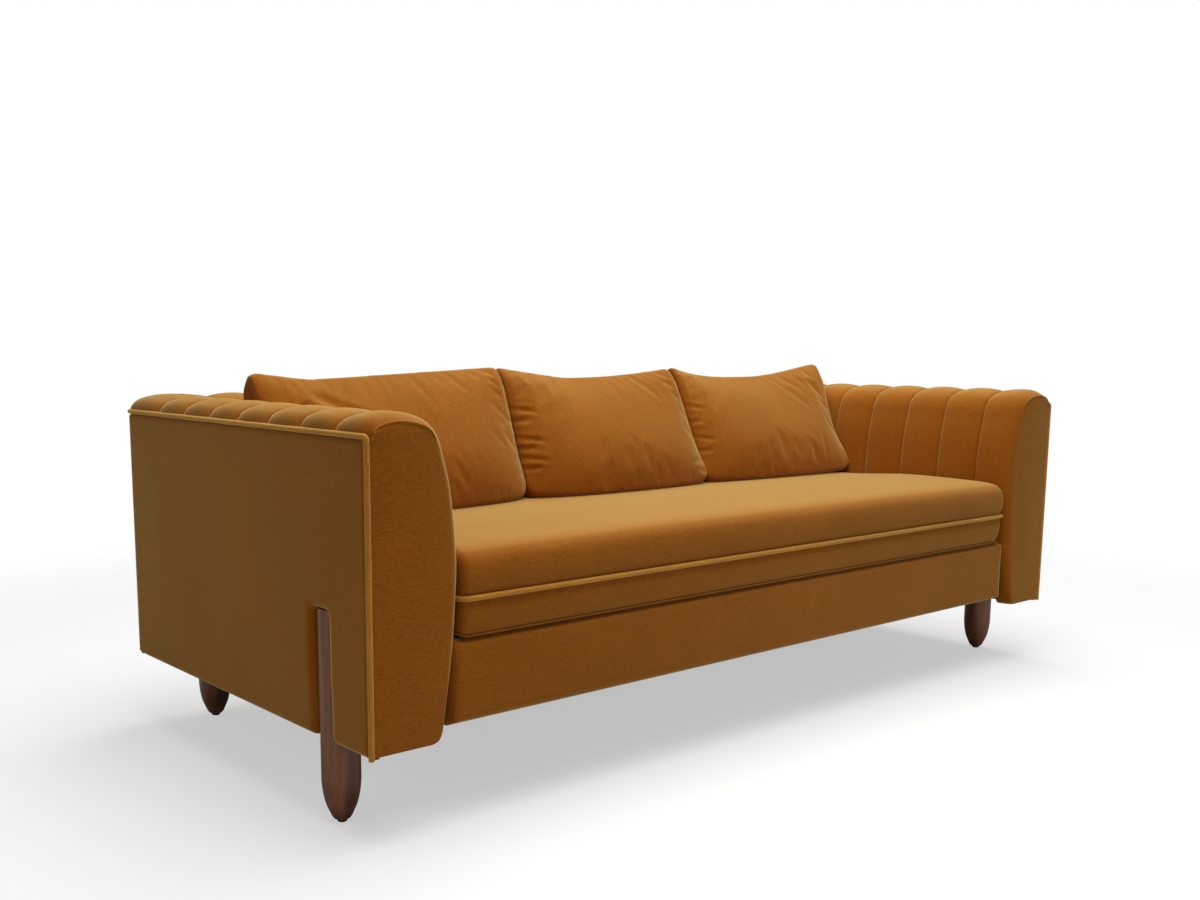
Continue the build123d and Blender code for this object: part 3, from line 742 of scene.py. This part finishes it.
def inflated(piece, seam_distance, fullness, limit, keep):
    """Swells a piece as cloth held along its seams, keeping each point near its start and inside keep."""
    start = [vertex.co.copy() for vertex in piece.data.vertices]
    seams = piece.vertex_groups.new(name="seams")
    for vertex in piece.data.vertices:
        weight = math.exp(-(seam_distance(vertex.co) / seam_hold) ** 2)
        if weight > 0.02:
            seams.add([vertex.index], weight, "REPLACE")
    cloth = piece.modifiers.new("cloth", "CLOTH")
    cloth.settings.quality = 5
    cloth.settings.mass = 0.3
    cloth.settings.tension_stiffness = 15
    cloth.settings.compression_stiffness = 15
    cloth.settings.shear_stiffness = 5
    cloth.settings.bending_stiffness = 4.0
    cloth.settings.use_pressure = True
    cloth.settings.uniform_pressure_force = 2.5
    cloth.settings.effector_weights.gravity = 0.0
    cloth.settings.vertex_group_mass = "seams"
    cloth.settings.shrink_min = -fullness
    cloth.point_cache.frame_start = 1
    cloth.point_cache.frame_end = cloth_frames
    for number in range(1, cloth_frames + 1):
        bpy.context.scene.frame_set(number)
    swollen = piece.evaluated_get(bpy.context.evaluated_depsgraph_get()).data
    moved = [vertex.co.copy() for vertex in swollen.vertices]
    piece.modifiers.remove(cloth)
    bpy.context.scene.frame_set(1)
    for vertex, home, place in zip(piece.data.vertices, start, moved):
        step = place - home
        eased = limit * math.tanh(step.length / limit)
        vertex.co = keep(home + step.normalized() * eased)


def folded(piece, folds):
    """Presses sewn creases into a piece: each fold is a line on its front, a width and a depth."""
    piece.data.update()
    shifts = []
    for vertex in piece.data.vertices:
        shift = 0.0
        if vertex.normal[1] < 0.2:
            at = Vector((vertex.co[0], vertex.co[2]))
            for start, end, width, depth in folds:
                along = Vector(end) - Vector(start)
                t = (at - Vector(start)).dot(along) / along.length_squared
                if 0 < t < 1:
                    q = ((at - Vector(start) - along * t).length / width) ** 2
                    shift -= depth * (1 - 2 * q) * math.exp(-q) * math.sin(math.pi * t) ** 0.6
        shifts.append(vertex.normal * shift)
    for vertex, shift in zip(piece.data.vertices, shifts):
        vertex.co += shift


def subdivided(piece):
    smooth = piece.modifiers.new("fine", "SUBSURF")
    smooth.levels = 1
    smooth.render_levels = 1
    apply_modifiers(piece)


def seat_cushion():
    low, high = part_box("seat_cushion_cover")
    half, rear, front, base, top = high[0], high[1], low[1], low[2], high[2]
    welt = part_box("seat_cushion_welt")
    welt_height = (welt[0][2] + welt[1][2]) / 2
    middle = Vector(((front + rear) / 2, welt_height))
    reach = Vector(((rear - front) / 2, (top - base) / 2))
    zip_low, zip_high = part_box("seat_cushion_zip")
    corner = 0.018
    sections = []
    for x in end_stations(half, corner, 60, 8):
        inset = corner_inset(half - abs(x), corner)
        crown = top - 0.005 * (x / half) ** 4
        zipped = 1 - soft_step(zip_high[0], zip_high[0] + 0.012, abs(x))
        groove = rear - (rear - zip_low[1] + 0.0006) * zipped
        ring = [(front + 0.034, base), (front + 0.016, base + 0.004), (front + 0.009, base + 0.016),
                (front + 0.003, welt_height - 0.026), (front + 0.006, welt_height - 0.003),
                (front + 0.005, welt_height + 0.006), (front - 0.002, welt_height + 0.026),
                (front - 0.001, crown - 0.036), (front + 0.008, crown - 0.016),
                (front + 0.030, crown - 0.005), (front + 0.090, crown - 0.001), (front + 0.280, crown),
                (front + 0.470, crown - 0.012), (rear - 0.090, crown - 0.013),
                (rear - 0.012, crown - 0.024), (rear, welt_height + 0.030),
                (rear, zip_high[2] + 0.006), (groove, zip_high[2] + 0.001),
                (groove, zip_low[2] - 0.001), (rear, zip_low[2] - 0.006),
                (rear - 0.004, base + 0.016), (rear - 0.030, base), (front + 0.300, base)]
        loop = closed_line(ring, 138)
        shrink = Vector((1 - inset / reach[0], 1 - inset / reach[1]))
        sections.append([(x, middle[0] + (p[0] - middle[0]) * shrink[0],
                          middle[1] + (p[1] - middle[1]) * shrink[1]) for p in loop])
    lofted_cushion("seat_cushion", sections, "velvet", "seat_cushion",
                   ["seat_cushion_cover", "seat_cushion_insert"])
    seat_welt(half, front, corner, welt_height)


def edge_seam(piece, name, low, high, body):
    """A thin sewn ridge up the front rim of a cushion's right end."""
    count = 40
    levels = [[] for _ in range(count + 1)]
    for vertex in piece.data.vertices:
        level = round((vertex.co[2] - low) / (high - low) * count)
        if 0 <= level <= count:
            levels[level].append(vertex.co.copy())
    route = []
    for level in levels:
        furthest = max(co[0] for co in level)
        route.append(min((co for co in level if co[0] > furthest - 0.004), key=lambda co: co[1]))
    for _ in range(3):
        route = [route[0], *[(a + b * 2 + c) / 4 for a, b, c in zip(route, route[1:], route[2:])], route[-1]]
    # The seam takes the welt finish, a lighter copy of the velvet: a painted highlight along the cushion's
    # rim.
    cord_piece(name, route, seam_radius, body)


def seat_welt(half, front, corner, height):
    """The cord along the cushion's front, turned round its corners."""
    y = front + 0.001
    turn = [(half - corner * e, y + corner_inset(corner * e, corner), height)
            for e in (1, 0.8, 0.6, 0.4, 0.2, 0.1)]
    right = turn + [(half - 0.001, y + corner * 1.1, height), (half - 0.003, y + 0.10, height)]
    left = [(-x, y, z) for x, y, z in right[::-1]]
    route = [Vector(p) for p in left]
    route += [Vector((-half + corner + (half - corner) * i / 40, y, height)) for i in range(1, 80)]
    route += [Vector(p) for p in right]
    # The cord takes the lighter welt finish, a painted highlight.
    cord_piece("seat_welt_cord", route, welt_radius, "seat_cushion", ["seat_cushion_welt"])


def edge_puckers(x, heights, length, width, depth):
    """Short level creases that run in from a sewn side edge."""
    return [((x, z), (x + length * (0.8 + 0.4 * (i % 2)), z + 0.006 * (-1) ** i), width, depth)
            for i, z in enumerate(heights)]


def cushion_folds(side, left, right, foot, top):
    """Each back cushion's own creases, as seen on its front."""
    height = top - foot

    def levels(*shares):
        return [foot + height * share for share in shares]

    if side == "left":
        return [((left + 0.015, top - 0.030), (left + 0.170, foot + 0.55 * height), 0.016, 0.0045),
                ((left + 0.060, top - 0.015), (left + 0.260, foot + 0.62 * height), 0.014, 0.0035),
                *edge_puckers(right, levels(0.2, 0.36, 0.5, 0.68), -0.035, 0.008, 0.0015)]
    if side == "centre":
        return [*edge_puckers(left, levels(0.25, 0.35, 0.42, 0.52, 0.66, 0.77), 0.050, 0.008, 0.004),
                *edge_puckers(right, levels(0.12, 0.24), -0.05, 0.009, 0.002)]
    return [*edge_puckers(left, levels(0.30, 0.44, 0.58, 0.74), 0.045, 0.008, 0.003),
            ((right - 0.110, foot + 0.03), (right - 0.100, foot + 0.42 * height), 0.014, 0.0022),
            ((right - 0.160, foot + 0.03), (right - 0.155, foot + 0.36 * height), 0.014, 0.0018)]


def back_cushion(side, dip, rises, rounds, ears, tucks):
    """A knife-edged cushion with a boxed foot.

    dip is where its top line is lowest, from -1 to 1 across, and how high that is above the common line.
    Each of the two ends has a rise with its power, a rounding, an ear that leans out sideways, and a tuck,
    which is how far the front of its foot turns back.
    """
    cover = side + "_back_cushion_cover"
    low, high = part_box(cover)
    middle_x = (low[0] + high[0]) / 2
    half = (high[0] - low[0]) / 2 + 0.001
    foot, top_line = low[2], high[2] - 0.024
    front_foot = low[1] - 0.008
    tip_y = low[1] + 0.164
    stations = 56
    sections = []
    for i in range(stations + 1):
        share = -math.cos(math.pi * i / stations)
        end = 0 if share < 0 else 1
        full = end_draw(share, 2.8)
        base = foot + corner_inset(half * (1 - abs(share)), 0.022)
        foot_front = front_foot + tucks[end] * (1 - full + share * share) / 2
        foot_rear = high[1] - 0.006 - 0.125 * (1 - full)
        away = abs(share - dip[0]) / (1 + abs(dip[0]) * math.copysign(1, (share - dip[0]) * -dip[0]))
        rise, power = rises[0 if share < dip[0] else 1]
        top = top_line + dip[1] + rise * away ** power - corner_inset(half * (1 - abs(share)), rounds[end])
        swell = 0.010 + 0.036 * full + 0.010 * (1 - share * share)
        mid = (foot + top) / 2
        ring = [(foot_front + 0.026, base), (foot_front + 0.006, base + 0.007), (foot_front, base + 0.022),
                ((foot_front + tip_y) / 2 - swell * 1.2, mid - 0.036),
                (tip_y - 0.028 - 0.026 * full, top - 0.046), (tip_y - 0.014, top - 0.010),
                (tip_y, top - 0.002), (tip_y + 0.014, top - 0.010),
                (tip_y + 0.030 + 0.018 * full, top - 0.055),
                ((foot_rear + tip_y) / 2 + swell * 0.7, mid), (foot_rear, base + 0.020),
                (foot_rear - 0.014, base)]
        lean = math.copysign(abs(share) ** 7, share) * ears[end]
        sections.append([(middle_x + half * share + lean * soft_step(foot + 0.1, top_line, z), y, z)
                         for y, z in closed_line(ring, 80)])
    piece = lofted_cushion(side + "_back_cushion", sections, "velvet", side + "_back_cushion",
                           [cover, side + "_back_cushion_insert"])
    plump(piece, side, middle_x, half, ears, tip_y, foot, top_line, high[1])
    edge_seam(piece, side + "_cushion_seam", foot + 0.02, top_line - 0.004, side + "_back_cushion")


def plump(piece, side, middle_x, half, ears, tip_y, foot, top_line, rear):
    """Fills a back cushion out, held by its side and top seams and by what it stands against."""
    remeshed(piece, cushion_voxel)

    def seam_distance(point):
        side_edge = half - abs(point[0] - middle_x)
        top_edge = math.hypot(point[1] - tip_y, (point[2] - top_line) * (point[2] < top_line))
        return max(min(side_edge, top_edge, point[2] - foot), 0.0)

    def keep(point):
        lean = soft_step(foot + 0.1, top_line, point[2])
        x = min(max(point[0], middle_x - half - ears[0] * lean), middle_x + half + ears[1] * lean)
        return Vector((x, min(point[1], rear - 0.002), max(point[2], foot)))

    inflated(piece, seam_distance, cloth_fullness, cloth_reach, keep)
    folded(piece, cushion_folds(side, middle_x - half, middle_x + half, foot, top_line))
    subdivided(piece)
    zip_groove(piece, side + "_back_cushion_zip", foot)


def zip_groove(piece, zip_node, foot):
    """Leaves the zip open to view under a cushion."""
    low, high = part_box(zip_node)
    centre = [(a + b) / 2 for a, b in zip(low, high)]
    reach = [(b - a) / 2 for a, b in zip(low, high)]
    for vertex in piece.data.vertices:
        if vertex.co[2] < high[2]:
            across = 1 - soft_step(reach[1], reach[1] + 0.004, abs(vertex.co[1] - centre[1]))
            along = 1 - soft_step(reach[0], reach[0] + 0.006, abs(vertex.co[0] - centre[0]))
            vertex.co[2] = max(vertex.co[2], foot + (high[2] + 0.0004 - foot) * across * along)


def cushions():
    seat_cushion()
    for side, form in back_cushion_forms.items():
        back_cushion(side, **form)


# Stage


def studio():
    scene = bpy.context.scene
    scene.view_settings.view_transform = "Standard"
    world = bpy.data.worlds.new("studio")
    scene.world = world
    world.use_nodes = True
    tree = world.node_tree
    background = tree.nodes["Background"]
    path = node(tree, "ShaderNodeLightPath")
    seen = calculated(tree, "MAXIMUM", path.outputs["Is Camera Ray"], path.outputs["Is Glossy Ray"])
    through = calculated(tree, "MAXIMUM", seen, path.outputs["Is Transmission Ray"])
    strength = node(tree, "ShaderNodeMapRange", {"To Min": 0.11, "To Max": 1.0})
    tree.links.new(through, strength.inputs["Value"])
    tree.links.new(strength.outputs["Result"], background.inputs["Strength"])
    background.inputs["Color"].default_value = (1, 1, 1, 1)


def soft_light(name, place, target, size, power):
    lamp = bpy.data.lights.new(name, "AREA")
    lamp.shape = "RECTANGLE"
    lamp.size, lamp.size_y = size
    lamp.energy = power
    holder = bpy.data.objects.new(name, lamp)
    holder.location = place
    holder.rotation_euler = (Vector(target) - Vector(place)).to_track_quat("-Z", "Y").to_euler()
    bpy.context.scene.collection.objects.link(holder)


def floor():
    """A pale floor that keeps the shadow and fades into the white behind it."""
    mesh = bpy.data.meshes.new("floor")
    reach = 9.0
    mesh.from_pydata([(-reach, -reach, 0), (reach, -reach, 0), (reach, reach, 0), (-reach, reach, 0)], [],
                     [(0, 1, 2, 3)])
    material, tree, shader = new_material("floor")
    shader.inputs["Roughness"].default_value = 0.9
    place = node(tree, "ShaderNodeTexCoord")
    length = node(tree, "ShaderNodeVectorMath", operation="LENGTH")
    tree.links.new(place.outputs["Object"], length.inputs[0])
    fade = node(tree, "ShaderNodeMapRange", {"From Min": 1.5, "From Max": 3.0, "To Min": 0.0, "To Max": 1.0},
                interpolation_type="SMOOTHSTEP")
    tree.links.new(length.outputs["Value"], fade.inputs["Value"])
    camera_ray = node(tree, "ShaderNodeLightPath").outputs["Is Camera Ray"]
    bounced, shown = (0.58, 0.58, 0.58), (0.94, 0.94, 0.94)
    shade = colour_ramp(tree, camera_ray, [(0.0, bounced), (1.0, shown)])
    tree.links.new(shade, shader.inputs["Base Color"])
    pale = node(tree, "ShaderNodeEmission").outputs["Emission"]
    clear = node(tree, "ShaderNodeBsdfTransparent").outputs["BSDF"]
    soft = blended(tree, calculated(tree, "MULTIPLY", camera_ray, 0.5), shader.outputs["BSDF"], pale)
    faded = calculated(tree, "MULTIPLY", camera_ray, fade.outputs["Result"])
    surface = tree.nodes["Material Output"].inputs["Surface"]
    tree.links.new(blended(tree, faded, soft, clear), surface)
    mesh.materials.append(material)
    piece = bpy.data.objects.new("floor", mesh)
    bpy.context.scene.collection.objects.link(piece)


def camera():
    lens = bpy.data.cameras.new("camera")
    lens.sensor_width = 36.0
    lens.lens = focal_pixels / photo_width * lens.sensor_width
    lens.shift_x = (photo_width / 2 - principal_point[0]) / photo_width
    lens.shift_y = (principal_point[1] - photo_height / 2) / photo_width
    holder = bpy.data.objects.new("camera", lens)
    turn = Matrix.Rotation(math.radians(-camera_azimuth), 4, "Z")
    tilt = Matrix.Rotation(math.radians(90 + camera_pitch), 4, "X")
    roll = Matrix.Rotation(math.radians(camera_roll), 4, "Z")
    holder.matrix_world = Matrix.Translation(camera_place) @ turn @ tilt @ roll
    bpy.context.scene.collection.objects.link(holder)
    bpy.context.scene.camera = holder


dress_cad_nodes()
arms()
back()
panels()
deck()
dust_sheet()
welts()
cushions()
studio()
floor()
for settings in lamps:
    soft_light(*settings)
camera()
